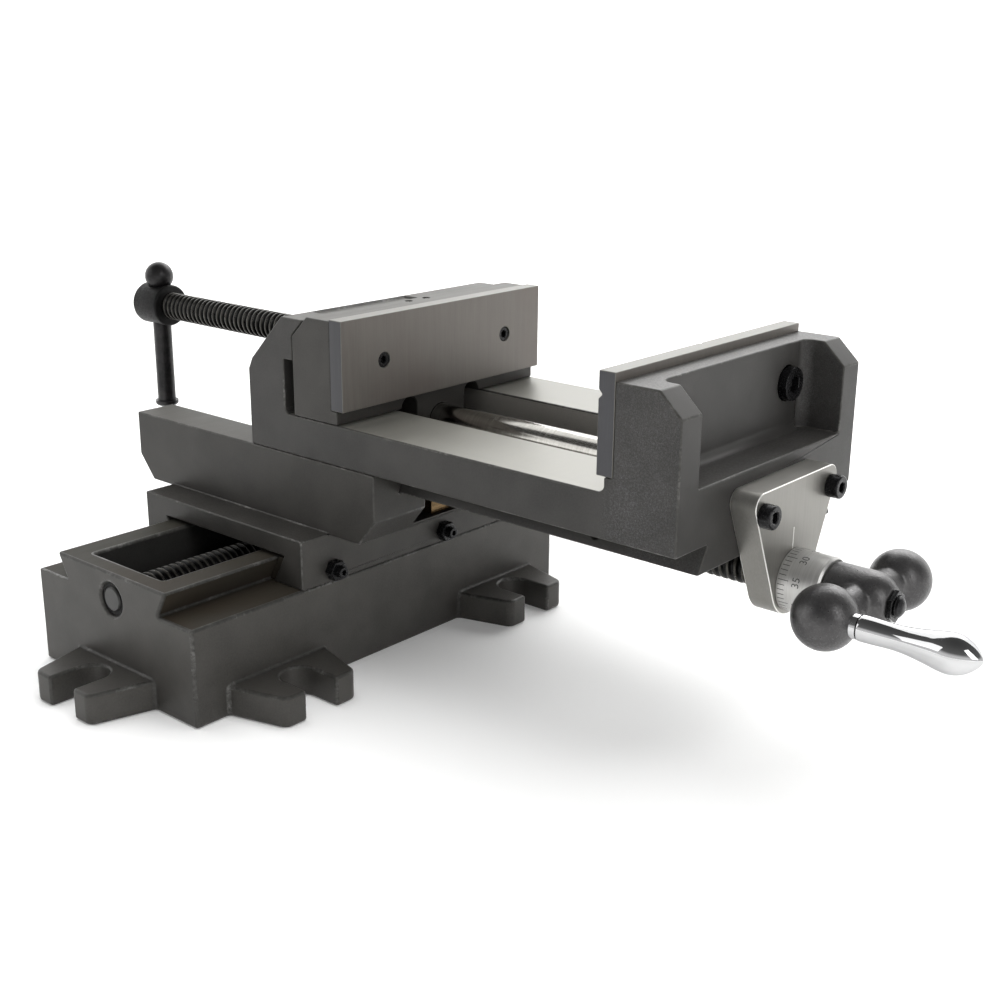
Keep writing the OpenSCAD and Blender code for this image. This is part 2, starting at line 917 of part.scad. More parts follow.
module screw_retaining_pins() {
    color(STEEL)
    on_body()
    for (y = [-1, 1])
        translate([jaw_rear_x + 14.5, y * 6.6, clamp_z - 9])
            cylinder(h = jaw_top - clamp_z + 8.5, r = 2);
}

// ---------- clamp screw and its handle ----------

module clamp_screw() {
    thread_x = head_x + head_l;
    shoulder_x = jaw_rear_x + 7.6;
    groove_x = jaw_rear_x + 14.5;
    color(BLACK)
    on_body()
    difference() {
        union() {
            rod_x(head_x + 1.5, 0, clamp_z, head_r, head_l - 3);
            translate([head_x, 0, clamp_z])
                rotate([0, 90, 0])
                    cylinder(h = 1.5, r1 = head_r - 1.5, r2 = head_r);
            translate([head_x + head_l - 1.5, 0, clamp_z])
                rotate([0, 90, 0])
                    cylinder(h = 1.5, r1 = head_r, r2 = head_r - 1.5);
            rod_x(thread_x - 1, 0, clamp_z, clamp_r, shoulder_x - thread_x + 1);
            rod_x(shoulder_x - 1, 0, clamp_z, nose_r, nose_x - shoulder_x + 1);
        }
        // groove for the retaining pins
        translate([groove_x - 2.3, 0, clamp_z])
            rotate([0, 90, 0])
                difference() {
                    cylinder(h = 4.6, r = nose_r + 1);
                    translate([0, 0, -1])
                        cylinder(h = 6.6, r = 4.3);
                }
        // cross hole for the handle, with a ball seat at each mouth
        translate([bar_x, 0, clamp_z - 20])
            cylinder(h = 40, r = bar_r + NUT_RUN);
        for (s = [-1, 1])
            translate([bar_x, 0, clamp_z + s * ball_z])
                sphere(r = bar_ball_r + 0.3);
    }
}

module tommy_bar() {
    color(BLACK)
    on_body()
        translate([bar_x, 0, clamp_z - bar_low])
            cylinder(h = bar_low + ball_z, r = bar_r);
}

module tommy_ball() {
    color(BLACK)
    on_body()
    difference() {
        translate([bar_x, 0, clamp_z + ball_z])
            sphere(r = bar_ball_r, $fn = 64);
        translate([bar_x, 0, clamp_z])
            cylinder(h = ball_z, r = bar_r);
    }
}

// low domed button that keeps the bar in its hole
module tommy_end_cap() {
    color(BLACK)
    on_body()
        translate([bar_x, 0, clamp_z - bar_low])
            rotate_extrude()
                polygon(concat(
                    [[0, 0], [7.2, 0], [7.2, -1.6]],
                    [for (i = [1:6]) [7.2 * cos(i * 15), -1.6 - 2.8 * sin(i * 15)]]
                ));
}

base_casting();
lower_end_bush();
lower_screw_bracket();
lower_bracket_bush();
lower_bracket_screws();
lower_lead_screw();
lower_dial();
lower_dial_screw();
lower_ball_crank();
lower_crank_nut();
lower_grip_spindle();
lower_crank_grip();
saddle_casting();
lower_nut();
lower_nut_screws();
lower_gib();
lower_gib_screws();
lower_gib_locknuts();
upper_nut();
upper_nut_screws();
upper_gib();
upper_gib_screws();
upper_gib_locknuts();
vise_body_casting();
clamp_nut();
guide_rod();
fixed_jaw_plate();
fixed_jaw_screws();
upper_screw_bracket();
upper_bracket_bush();
upper_bracket_screws();
upper_lead_screw();
upper_dial();
upper_dial_screw();
upper_ball_crank();
upper_crank_nut();
upper_grip_spindle();
upper_crank_grip();
movable_jaw_casting();
movable_jaw_plate();
movable_jaw_screws();
screw_retaining_pins();
clamp_screw();
tommy_bar();
tommy_ball();
tommy_end_cap();
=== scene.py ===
"""Looks of the compound machine vise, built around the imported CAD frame. Metres, row frame."""

import math

import bmesh
import bpy
from mathutils import Matrix, Vector


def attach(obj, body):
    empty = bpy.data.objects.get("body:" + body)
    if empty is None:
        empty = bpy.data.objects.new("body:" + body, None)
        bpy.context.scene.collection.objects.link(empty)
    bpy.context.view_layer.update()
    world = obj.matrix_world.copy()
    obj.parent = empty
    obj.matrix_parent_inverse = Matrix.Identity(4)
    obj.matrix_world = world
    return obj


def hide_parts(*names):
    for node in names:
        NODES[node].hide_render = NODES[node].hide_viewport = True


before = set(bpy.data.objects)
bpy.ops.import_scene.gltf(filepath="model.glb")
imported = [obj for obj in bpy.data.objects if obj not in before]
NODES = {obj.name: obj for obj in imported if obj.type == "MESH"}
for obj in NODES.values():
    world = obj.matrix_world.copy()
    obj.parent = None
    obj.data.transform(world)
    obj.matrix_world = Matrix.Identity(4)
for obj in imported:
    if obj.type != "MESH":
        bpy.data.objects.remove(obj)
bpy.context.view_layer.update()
MM = 0.001
SY = 0.0277                 # centre line of saddle and vise body
UPPER_Z = 0.088             # axis of the upper lead screw
LOWER_Z = 0.050             # axis of the lower lead screw
CLAMP_Z = 0.157             # axis of the clamp screw
END_X = 0.2723              # face that carries the upper bracket
END_Y = 0.1348              # face that carries the lower bracket
ARM = 0.0352                # crank ball from crank axis
BRACKET_T = 0.0130          # thickness of a screw bracket
PITCH = 0.004


# ---------------------------------------------------------------- node helpers

class Tree:
    """A material under construction, with short calls for its nodes."""

    def __init__(self, name, metallic, specular=0.5):
        self.mat = bpy.data.materials.new(name)
        self.mat.use_nodes = True
        self.t = self.mat.node_tree
        self.t.nodes.clear()
        out = self.t.nodes.new("ShaderNodeOutputMaterial")
        self.bsdf = self.t.nodes.new("ShaderNodeBsdfPrincipled")
        self.bsdf.inputs["Metallic"].default_value = metallic
        self.bsdf.inputs["Specular IOR Level"].default_value = specular
        self.t.links.new(self.bsdf.outputs[0], out.inputs[0])
        self.coords = self.t.nodes.new("ShaderNodeTexCoord")
        self.obj = self.coords.outputs["Object"]

    def plug(self, socket, value):
        if isinstance(value, bpy.types.NodeSocket):
            self.t.links.new(value, socket)
        elif isinstance(value, (tuple, list)) and len(value) == 3 and socket.type == "RGBA":
            socket.default_value = (*value, 1.0)
        else:
            socket.default_value = value

    def stretch(self, scale):
        n = self.t.nodes.new("ShaderNodeMapping")
        self.t.links.new(self.obj, n.inputs["Vector"])
        n.inputs["Scale"].default_value = scale
        return n.outputs[0]

    def noise(self, scale, detail=3.0, rough=0.55, vector=None, distort=0.0):
        n = self.t.nodes.new("ShaderNodeTexNoise")
        self.t.links.new(vector or self.obj, n.inputs["Vector"])
        n.inputs["Scale"].default_value = scale
        n.inputs["Detail"].default_value = detail
        n.inputs["Roughness"].default_value = rough
        n.inputs["Distortion"].default_value = distort
        return n.outputs["Fac"]

    def cells(self, scale, vector=None):
        n = self.t.nodes.new("ShaderNodeTexVoronoi")
        self.t.links.new(vector or self.obj, n.inputs["Vector"])
        n.inputs["Scale"].default_value = scale
        return n.outputs["Distance"]

    def spread(self, value, lo, hi, to_lo=0.0, to_hi=1.0, smooth=False):
        n = self.t.nodes.new("ShaderNodeMapRange")
        n.interpolation_type = "SMOOTHSTEP" if smooth else "LINEAR"
        self.plug(n.inputs["Value"], value)
        for k, v in (("From Min", lo), ("From Max", hi), ("To Min", to_lo), ("To Max", to_hi)):
            n.inputs[k].default_value = v
        return n.outputs["Result"]

    def math(self, op, a, b=0.0, clamp=False):
        n = self.t.nodes.new("ShaderNodeMath")
        n.operation = op
        n.use_clamp = clamp
        self.plug(n.inputs[0], a)
        self.plug(n.inputs[1], b)
        return n.outputs[0]

    def mix(self, fac, a, b):
        n = self.t.nodes.new("ShaderNodeMix")
        n.data_type = "RGBA"
        self.plug(n.inputs["Factor"], fac)
        self.plug(n.inputs[6], a)
        self.plug(n.inputs[7], b)
        return n.outputs[2]

    def blendf(self, fac, a, b):
        n = self.t.nodes.new("ShaderNodeMix")
        n.data_type = "FLOAT"
        self.plug(n.inputs["Factor"], fac)
        self.plug(n.inputs[2], a)
        self.plug(n.inputs[3], b)
        return n.outputs[0]

    def axis(self, which, source=None):
        n = self.t.nodes.new("ShaderNodeSeparateXYZ")
        self.t.links.new(source or self.obj, n.inputs[0])
        return n.outputs[which]

    def bump(self, height, distance, strength=1.0, after=None):
        n = self.t.nodes.new("ShaderNodeBump")
        n.inputs["Distance"].default_value = distance
        n.inputs["Strength"].default_value = strength
        self.t.links.new(height, n.inputs["Height"])
        if after is not None:
            self.t.links.new(after, n.inputs["Normal"])
        return n.outputs[0]

    def finish(self, color, rough, normal=None):
        self.plug(self.bsdf.inputs["Base Color"], color)
        self.plug(self.bsdf.inputs["Roughness"], rough)
        if normal is not None:
            self.t.links.new(normal, self.bsdf.inputs["Normal"])
        return self.mat


def cast_paint(name, low, high, rough_zone_and_painted_light=False, wear=0.0):
    """Dark phosphated cast iron: slow tone changes, fine skin, coarser where the sand mould shows; in the rough zone
    also painted light on the bed-slot walls and painted glints on the sand-cast grain.
    """
    m = Tree(name, 0.25, 0.28)
    blotch = m.noise(14, 4, 0.6)
    cloud = m.noise(60, 3, 0.5)
    skin = m.noise(1100, 3, 0.6)
    pits = m.noise(420, 4, 0.7)
    tone = m.math("ADD", m.math("MULTIPLY", blotch, 0.6), m.math("MULTIPLY", cloud, 0.4))
    color = m.mix(m.spread(tone, 0.35, 0.65), low, high)
    color = m.mix(m.spread(skin, 0.35, 0.75, 0.0, 0.35), color, tuple(c * 1.5 for c in high))
    rough = m.spread(skin, 0.3, 0.7, 0.36, 0.52)
    if rough_zone_and_painted_light:
        # raw sand-cast skin on the cheeks of the fixed jaw and on the walls of the bed slot, in roughness and bump; its
        # colour also carries painted light and painted glints
        x = m.axis(0)
        cheek = m.spread(x, 0.228, 0.243, smooth=True)
        off = m.math("ABSOLUTE", m.math("SUBTRACT", m.axis(1), SY))
        slot = m.math("MULTIPLY", m.spread(off, 0.0318, 0.0324), m.spread(off, 0.0335, 0.0330))
        side = m.spread(m.math("ABSOLUTE", m.axis(1, m.coords.outputs["Normal"])), 0.3, 0.7)
        zone = m.math("MULTIPLY", m.math("MAXIMUM", cheek, slot), side)
        grain = m.noise(1700, 4, 0.7)
        # painted highlights: light glints on the sand-cast grain of the cheeks and slot walls
        glint = m.spread(grain, 0.48, 0.70)
        # painted light: the bed-slot walls are painted far lighter than the casting, standing for the light falling on
        # them
        color = m.mix(m.math("MULTIPLY", slot, side), color, (0.42, 0.40, 0.37))
        color = m.mix(m.math("MULTIPLY", zone, m.math("MULTIPLY", glint, m.spread(blotch, 0.4, 0.62, 0.25, 0.9))), color, (0.13, 0.13, 0.134))
        height = m.math("ADD", m.math("MULTIPLY", pits, 0.25), m.math("MULTIPLY", m.math("MULTIPLY", grain, zone), 3.0))
        normal = m.bump(height, 0.00011, 1.0)
        rough = m.blendf(m.math("MULTIPLY", zone, 0.6), rough, 0.30)
    else:
        height = m.math("ADD", m.math("MULTIPLY", pits, 0.6), m.math("MULTIPLY", skin, 0.5))
        normal = m.bump(height, 0.00006 + wear * 0.0001, 1.0)
    return m.finish(color, rough, normal)


def worn_edge(name):
    """Corners of the castings, where the dark skin is rubbed through here and there."""
    m = Tree(name, 0.3, 0.35)
    patch = m.noise(55, 4, 0.65)
    fine = m.noise(500, 4, 0.7)
    bare = m.math("MULTIPLY", m.spread(patch, 0.50, 0.70), m.spread(fine, 0.38, 0.62))
    color = m.mix(m.spread(fine, 0.3, 0.7), (0.036, 0.035, 0.032), (0.058, 0.056, 0.052))
    color = m.mix(bare, color, (0.15, 0.147, 0.140))
    return m.finish(color, m.blendf(bare, 0.45, 0.33), m.bump(fine, 0.00005))


def ground(name, low, high, rough, along, lines=2600, depth=0.000012, blotch=0.5, metallic=0.85, warm=None, specular=0.5):
    """Ground or milled steel: long fine lines along one axis over slow stains."""
    m = Tree(name, metallic, specular)
    k = {"x": (0.02, 1, 1), "y": (1, 0.02, 1), "z": (1, 1, 0.02)}[along]
    line = m.noise(lines, 2, 0.6, m.stretch(k))
    band = m.noise(lines * 0.12, 2, 0.5, m.stretch(tuple(max(v, 0.05) for v in k)))
    cloud = m.noise(22, 4, 0.6)
    tone = m.math("ADD", m.math("MULTIPLY", line, 0.35), m.math("ADD", m.math("MULTIPLY", band, 0.25), m.math("MULTIPLY", cloud, 0.4)))
    color = m.mix(m.spread(tone, 0.5 - 0.22 * blotch, 0.5 + 0.22 * blotch), low, high)
    if warm:
        color = m.mix(m.spread(m.noise(9, 3, 0.6), 0.48, 0.66, 0.0, 0.6), color, warm)
    r = m.spread(tone, 0.35, 0.65, rough * 0.88, rough * 1.15)
    return m.finish(color, r, m.bump(line, depth, 1.0))


def turned(name, low, high, rough, axis_dir, metallic=0.95, lines=1800, depth=0.00001):
    """Turned metal: rings round the axis, so the tone varies along it only."""
    m = Tree(name, metallic)
    k = {"x": (1, 0.03, 0.03), "y": (0.03, 1, 0.03), "z": (0.03, 0.03, 1)}[axis_dir]
    ring = m.noise(lines, 2, 0.6, m.stretch(k))
    cloud = m.noise(60, 3, 0.6)
    tone = m.math("ADD", m.math("MULTIPLY", ring, 0.55), m.math("MULTIPLY", cloud, 0.45))
    color = m.mix(m.spread(tone, 0.36, 0.64), low, high)
    return m.finish(color, m.spread(tone, 0.35, 0.65, rough * 0.85, rough * 1.2), m.bump(ring, depth, 1.0))


def thread_black(name, axis_dir, centre, root, crest, low, high):
    """Black screw thread: oily dark roots and rubbed crests, told apart by distance from the axis."""
    m = Tree(name, 0.75)
    a, b = {"x": (1, 2), "y": (0, 2)}[axis_dir]
    da = m.math("SUBTRACT", m.axis(a), centre[0])
    db = m.math("SUBTRACT", m.axis(b), centre[1])
    rad = m.math("SQRT", m.math("ADD", m.math("MULTIPLY", da, da), m.math("MULTIPLY", db, db)))
    worn = m.spread(rad, root + 0.55 * (crest - root), crest, smooth=True)
    patch = m.noise(180, 4, 0.7)
    fac = m.math("MULTIPLY", worn, m.spread(patch, 0.32, 0.6, 0.45, 1.0))
    color = m.mix(fac, low, high)
    rough = m.spread(m.noise(700, 3), 0.3, 0.7, 0.24, 0.40)
    return m.finish(color, rough, m.bump(m.noise(1500, 3), 0.00002))


def black_oxide(name, low=(0.005, 0.005, 0.0055), high=(0.014, 0.014, 0.015), rough=0.26):
    m = Tree(name, 0.6)
    fine = m.noise(900, 3, 0.6)
    cloud = m.noise(120, 3, 0.6)
    color = m.mix(m.spread(cloud, 0.35, 0.65), low, high)
    color = m.mix(m.spread(fine, 0.66, 0.78, 0.0, 0.4), color, (0.06, 0.06, 0.06))
    return m.finish(color, m.spread(fine, 0.3, 0.7, rough * 0.8, rough * 1.35), m.bump(fine, 0.00002))


def crank_iron(name):
    """Tumbled dark ball-crank iron with an orange-peel skin."""
    m = Tree(name, 0.7)
    peel = m.noise(1000, 3, 0.6)
    fine = m.noise(1500, 3, 0.6)
    cloud = m.noise(70, 3, 0.6)
    color = m.mix(m.spread(cloud, 0.35, 0.65), (0.056, 0.054, 0.055), (0.086, 0.084, 0.084))
    color = m.mix(m.spread(peel, 0.5, 0.7, 0.0, 0.25), color, (0.17, 0.17, 0.17))
    height = m.math("ADD", peel, m.math("MULTIPLY", fine, 0.35))
    return m.finish(color, m.spread(peel, 0.35, 0.7, 0.38, 0.26), m.bump(height, 0.00012))


def chrome(name):
    m = Tree(name, 1.0)
    m.bsdf.inputs["Specular Tint"].default_value = (0.62, 0.62, 0.63, 1.0)
    haze = m.noise(35, 3, 0.6)
    swirl = m.noise(900, 2, 0.5, m.stretch((0.05, 1, 1)))
    color = m.mix(m.spread(haze, 0.35, 0.65), (0.50, 0.505, 0.51), (0.58, 0.58, 0.585))
    return m.finish(color, m.spread(haze, 0.35, 0.7, 0.035, 0.075), m.bump(swirl, 0.000003, 0.6))


def bronze(name):
    m = Tree(name, 0.9)
    ring = m.noise(900, 2, 0.6, m.stretch((1, 0.1, 1)))
    cloud = m.noise(90, 4, 0.6)
    color = m.mix(m.spread(cloud, 0.35, 0.65), (0.075, 0.048, 0.022), (0.16, 0.105, 0.050))
    return m.finish(color, m.spread(ring, 0.3, 0.7, 0.24, 0.40), m.bump(ring, 0.00002))


def ink(name):
    m = Tree(name, 0.1)
    color = m.mix(m.spread(m.noise(1500, 3), 0.3, 0.7), (0.05, 0.05, 0.05), (0.11, 0.11, 0.105))
    return m.finish(color, m.spread(m.noise(800, 2), 0.3, 0.7, 0.45, 0.6))


CAST = cast_paint("cast_dark", (0.031, 0.0295, 0.027), (0.049, 0.0465, 0.0425))
CAST_BASE = cast_paint("cast_base", (0.039, 0.037, 0.034), (0.062, 0.059, 0.054))
CAST_BODY = cast_paint("cast_body", (0.031, 0.030, 0.0285), (0.049, 0.047, 0.0445), rough_zone_and_painted_light=True)
CAST_RAW = cast_paint("cast_raw", (0.022, 0.022, 0.021), (0.040, 0.039, 0.037), wear=1.0)
EDGE = worn_edge("cast_worn_edge")
WAY = ground("way_ground", (0.160, 0.157, 0.140), (0.255, 0.250, 0.224), 0.42, "y", blotch=1.1, metallic=0.6)
FLAT = ground("flat_ground", (0.052, 0.050, 0.044), (0.086, 0.083, 0.074), 0.46, "y", blotch=1.1, metallic=0.4, specular=0.2)
DOVE = ground("dovetail_ground", (0.024, 0.022, 0.018), (0.041, 0.039, 0.032), 0.58, "y", blotch=1.1, metallic=0.0, warm=(0.034, 0.025, 0.017),
              specular=0.12)
PLATE = ground("plate_ground", (0.120, 0.110, 0.099), (0.190, 0.175, 0.159), 0.44, "z", blotch=1.2, metallic=0.5, warm=(0.135, 0.112, 0.100))
# jaw-plate end faces: the same ground steel painted far darker than the face, as painted shade
PLATE_END_SHADED = ground("plate_end_painted_shade", (0.034, 0.034, 0.037), (0.058, 0.058, 0.064), 0.42, "z", blotch=1.0, metallic=0.3)
PLATE_TOP = ground("plate_edge_ground", (0.112, 0.110, 0.098), (0.180, 0.176, 0.159), 0.44, "y", blotch=1.1, metallic=0.5)
SATIN = ground("bracket_satin", (0.205, 0.199, 0.184), (0.305, 0.298, 0.277), 0.38, "z", lines=1800, blotch=1.0, metallic=0.75)
ROD = turned("rod_polished", (0.34, 0.33, 0.305), (0.48, 0.47, 0.44), 0.17, "x", metallic=1.0, lines=900, depth=0.000003)
DIAL_X = turned("dial_satin_x", (0.42, 0.415, 0.40), (0.56, 0.555, 0.54), 0.34, "x", metallic=0.7)
DIAL_Y = turned("dial_satin_y", (0.42, 0.415, 0.40), (0.56, 0.555, 0.54), 0.34, "y", metallic=0.7)
BLACK = black_oxide("black_oxide")
# near-black end bush: a painted shadow standing for the dark gap round the screw end
SHADOW_BUSH = black_oxide("bush_painted_shadow", (0.002, 0.002, 0.002), (0.006, 0.0055, 0.005), 0.62)
BAR = black_oxide("bar_black", (0.010, 0.0095, 0.010), (0.026, 0.0245, 0.025), 0.34)
HEAD = black_oxide("clamp_head_black", (0.003, 0.0029, 0.0029), (0.008, 0.0077, 0.0075), 0.50)
TAIL = turned("screw_end_turned", (0.030, 0.030, 0.030), (0.062, 0.062, 0.060), 0.40, "y", metallic=0.6)
BRONZE = bronze("bronze")
CHROME = chrome("chrome_grip")
CRANK = crank_iron("crank_iron")
INK = ink("dial_ink")
SCRIBE = ground("scribed_line", (0.72, 0.71, 0.68), (0.86, 0.85, 0.82), 0.30, "z")
CLAMP_THREAD = thread_black("clamp_thread", "x", (SY, CLAMP_Z), 0.0064, 0.0082, (0.006, 0.006, 0.006), (0.060, 0.057, 0.050))
UPPER_THREAD = thread_black("upper_thread", "x", (SY, UPPER_Z), 0.0062, 0.0080, (0.006, 0.006, 0.006), (0.060, 0.057, 0.050))
LOWER_THREAD = thread_black("lower_thread", "y", (0.0, LOWER_Z), 0.0062, 0.0080, (0.006, 0.006, 0.006), (0.055, 0.052, 0.046))


# ---------------------------------------------------------------- mesh helpers

def smooth(ob, angle=35):
    me = ob.data
    me.polygons.foreach_set("use_smooth", [True] * len(me.polygons))
    me.set_sharp_from_angle(angle=math.radians(angle))


def make(name, verts, faces, mat, body, node=None, angle=35):
    me = bpy.data.meshes.new(name)
    me.from_pydata(verts, [], faces)
    me.update()
    ob = bpy.data.objects.new(name, me)
    bpy.context.scene.collection.objects.link(ob)
    return dress(ob, mat, body, node, angle)


def dress(ob, mat, body, node=None, angle=35):
    ob.data.materials.clear()
    ob.data.materials.append(mat)
    bm = bmesh.new()
    bm.from_mesh(ob.data)
    bmesh.ops.recalc_face_normals(bm, faces=bm.faces)
    bm.to_mesh(ob.data)
    bm.free()
    smooth(ob, angle)
    if node:
        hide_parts(node)
    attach(ob, body)
    return ob


def place(origin, along):
    """Matrix from a local frame whose z runs along the axis to the row frame."""
    cols = {"x": ((0, 1, 0), (0, 0, 1), (1, 0, 0)), "y": ((0, 0, 1), (1, 0, 0), (0, 1, 0)), "z": ((1, 0, 0), (0, 1, 0), (0, 0, 1))}[along]
    m = Matrix.Identity(4)
    for j, c in enumerate(cols):
        for i in range(3):
            m[i][j] = c[i]
    for i in range(3):
        m[i][3] = origin[i]
    return m


def revolve(profile, segments, matrix):
    """Closed surface of a [radius, height] profile that starts and ends on the axis."""
    verts, faces, rows = [], [], []
    for r, h in profile:
        if r < 1e-9:
            rows.append([len(verts)])
            verts.append(matrix @ Vector((0, 0, h)))
        else:
            rows.append(list(range(len(verts), len(verts) + segments)))
            for i in range(segments):
                a = 2 * math.pi * i / segments
                verts.append(matrix @ Vector((r * math.cos(a), r * math.sin(a), h)))
    for lo, hi in zip(rows, rows[1:]):
        for i in range(segments):
            j = (i + 1) % segments
            if len(lo) == 1 and len(hi) == 1:
                continue
            if len(lo) == 1:
                faces.append((lo[0], hi[j], hi[i]))
            elif len(hi) == 1:
                faces.append((lo[i], lo[j], hi[0]))
            else:
                faces.append((lo[i], lo[j], hi[j], hi[i]))
    return verts, faces


def curve_profile(points, steps=6):
    """Smooth profile through [radius, height] points."""
    out = []
    n = len(points)
    for i in range(n - 1):
        p0, p1, p2, p3 = points[max(i - 1, 0)], points[i], points[i + 1], points[min(i + 2, n - 1)]
        for k in range(steps):
            t = k / steps
            out.append(tuple(
                0.5 * (2 * p1[c] + (p2[c] - p0[c]) * t + (2 * p0[c] - 5 * p1[c] + 4 * p2[c] - p3[c]) * t * t
                       + (3 * p1[c] - p0[c] - 3 * p2[c] + p3[c]) * t ** 3)
                for c in (0, 1)))
    out.append(tuple(points[-1]))
    return [(max(r, 0.0), h) for r, h in out]


def thread(name, root, crest, length, matrix, mat, body, node=None, segments=40, pitch=PITCH):
    """Right-hand trapezoidal thread from local z = 0 to length, with closed ends."""
    depth = crest - root
    shape = [(0.00, root), (0.26, root), (0.34, root + 0.18 * depth), (0.46, crest - 0.12 * depth),
             (0.51, crest), (0.75, crest), (0.80, crest - 0.12 * depth), (0.92, root + 0.18 * depth)]
    turns = int(math.ceil(length / pitch)) + 3
    bm = bmesh.new()
    rows = []
    for t in range(turns):
        for ph, r in shape:
            z0 = (t - 1.5 + ph) * pitch
            rows.append([bm.verts.new((r * math.cos(2 * math.pi * j / segments), r * math.sin(2 * math.pi * j / segments),
                                       z0 + pitch * j / segments)) for j in range(segments)])
    n = len(shape)
    for k in range(len(rows) - 1):
        for j in range(segments - 1):
            bm.faces.new((rows[k][j], rows[k][j + 1], rows[k + 1][j + 1], rows[k + 1][j]))
        # the helix closes on the row one pitch further on
        if k + n + 1 < len(rows):
            bm.faces.new((rows[k][segments - 1], rows[k + n][0], rows[k + n + 1][0], rows[k + 1][segments - 1]))
    for z, sign in ((0.0, -1), (length, 1)):
        cut = bmesh.ops.bisect_plane(bm, geom=bm.verts[:] + bm.edges[:] + bm.faces[:], dist=1e-7,
                                     plane_co=(0, 0, z), plane_no=(0, 0, sign), clear_outer=True)
        edges = [e for e in cut["geom_cut"] if isinstance(e, bmesh.types.BMEdge)]
        bmesh.ops.edgeloop_fill(bm, edges=edges)
    bmesh.ops.transform(bm, matrix=matrix, verts=bm.verts)
    me = bpy.data.meshes.new(name)
    bm.to_mesh(me)
    bm.free()
    ob = bpy.data.objects.new(name, me)
    bpy.context.scene.collection.objects.link(ob)
    return dress(ob, mat, body, node, 50)


def baked(ob, *modifiers):
    """Applies modifiers given as (type, settings) and returns the object with its final mesh."""
    for kind, settings in modifiers:
        mod = ob.modifiers.new(kind.lower(), kind)
        for k, v in settings.items():
            setattr(mod, k, v)
    bpy.context.view_layer.update()
    dg = bpy.context.evaluated_depsgraph_get()
    me = bpy.data.meshes.new_from_object(ob.evaluated_get(dg))
    ob.modifiers.clear()
    old = ob.data
    ob.data = me
    bpy.data.meshes.remove(old)
    return ob


def raw(name, verts, faces):
    me = bpy.data.meshes.new(name)
    me.from_pydata(verts, [], faces)
    me.update()
    bm = bmesh.new()
    bm.from_mesh(me)
    bmesh.ops.recalc_face_normals(bm, faces=bm.faces)
    bm.to_mesh(me)
    bm.free()
    ob = bpy.data.objects.new(name, me)
    bpy.context.scene.collection.objects.link(ob)
    return ob


def drop(ob):
    bpy.data.objects.remove(ob)


def arc(cx, cy, r, a0, a1, n):
    return [(cx + r * math.cos(math.radians(a0 + (a1 - a0) * i / n)), cy + r * math.sin(math.radians(a0 + (a1 - a0) * i / n)))
            for i in range(n + 1)]


# ---------------------------------------------------------------- CAD nodes: edges and materials

def round_edges(node, width, segments=2, edge_slot=None, limit=38):
    """Merges the import's split corners, then rounds sharp edges by a small radius."""
    ob = NODES[node]
    w = ob.modifiers.new("weld", "WELD")
    w.merge_threshold = 1e-6
    d = ob.modifiers.new("flat", "DECIMATE")
    d.decimate_type = "DISSOLVE"
    d.angle_limit = math.radians(0.6)
    b = ob.modifiers.new("round", "BEVEL")
    b.width = width
    b.segments = segments
    b.limit_method = "ANGLE"
    b.angle_limit = math.radians(limit)
    b.use_clamp_overlap = False
    b.miter_outer = "MITER_ARC"
    b.harden_normals = False
    if edge_slot is not None:
        b.material = edge_slot
    n = ob.modifiers.new("weighted", "WEIGHTED_NORMAL")
    n.weight = 80
    n.keep_sharp = False
    return ob


def paint(node, rules, base, extra=()):
    """Gives a CAD node its materials: base everywhere, and rules (test, material) by face place and normal."""
    ob = NODES[node]
    me = ob.data
    mats = [base] + [m for _, m in rules] + list(extra)
    me.materials.clear()
    for m in mats:
        me.materials.append(m)
    for p in me.polygons:
        c, n = p.center * 1000, p.normal
        p.material_index = 0
        for i, (test, _) in enumerate(rules):
            if test(c, n):
                p.material_index = i + 1
                break
    smooth(ob, 30)
    return ob


paint("base_casting", [
    (lambda c, n: n.z > 0.9 and c.z > 60, DOVE),
    (lambda c, n: n.z > 0.9 and 49 < c.z < 52 and abs(c.x) < 64, DOVE),
    (lambda c, n: abs(n.x) > 0.6 and n.z < -0.3 and c.z > 51, DOVE),
    (lambda c, n: abs(c.x) < 29.2 and abs(c.y) < 124.5 and c.z > 29.5, CAST_RAW),
], CAST_BASE, [EDGE])
paint("saddle_casting", [
    (lambda c, n: n.z > 0.9 and c.z > 113, FLAT),
    (lambda c, n: n.z > 0.9 and c.z > 98, DOVE),
], CAST, [EDGE])
paint("vise_body_casting", [
    (lambda c, n: n.z > 0.9 and 134 < c.z < 135.5, WAY),
    (lambda c, n: n.z > 0.9 and c.z > 182 and c.x < 100, FLAT),
], CAST_BODY, [EDGE])
paint("movable_jaw_casting", [
    (lambda c, n: n.z > 0.9 and c.z > 181, FLAT),
], CAST, [EDGE])
for n in ("fixed_jaw_plate", "movable_jaw_plate"):
    # the end faces take the darker copy of the plate steel: painted shade
    paint(n, [(lambda c, n: n.z > 0.9 and c.z > 186, PLATE_TOP), (lambda c, n: abs(n.y) > 0.9, PLATE_END_SHADED)], PLATE, [PLATE_TOP])
for n in ("upper_screw_bracket", "lower_screw_bracket"):
    paint(n, [], SATIN, [SCRIBE])
for n in ("lower_gib", "upper_gib"):
    paint(n, [], DOVE)
paint("guide_rod", [], ROD)
for n in ("lower_bracket_bush", "upper_bracket_bush", "lower_nut", "upper_nut", "clamp_nut"):
    paint(n, [], BRONZE)
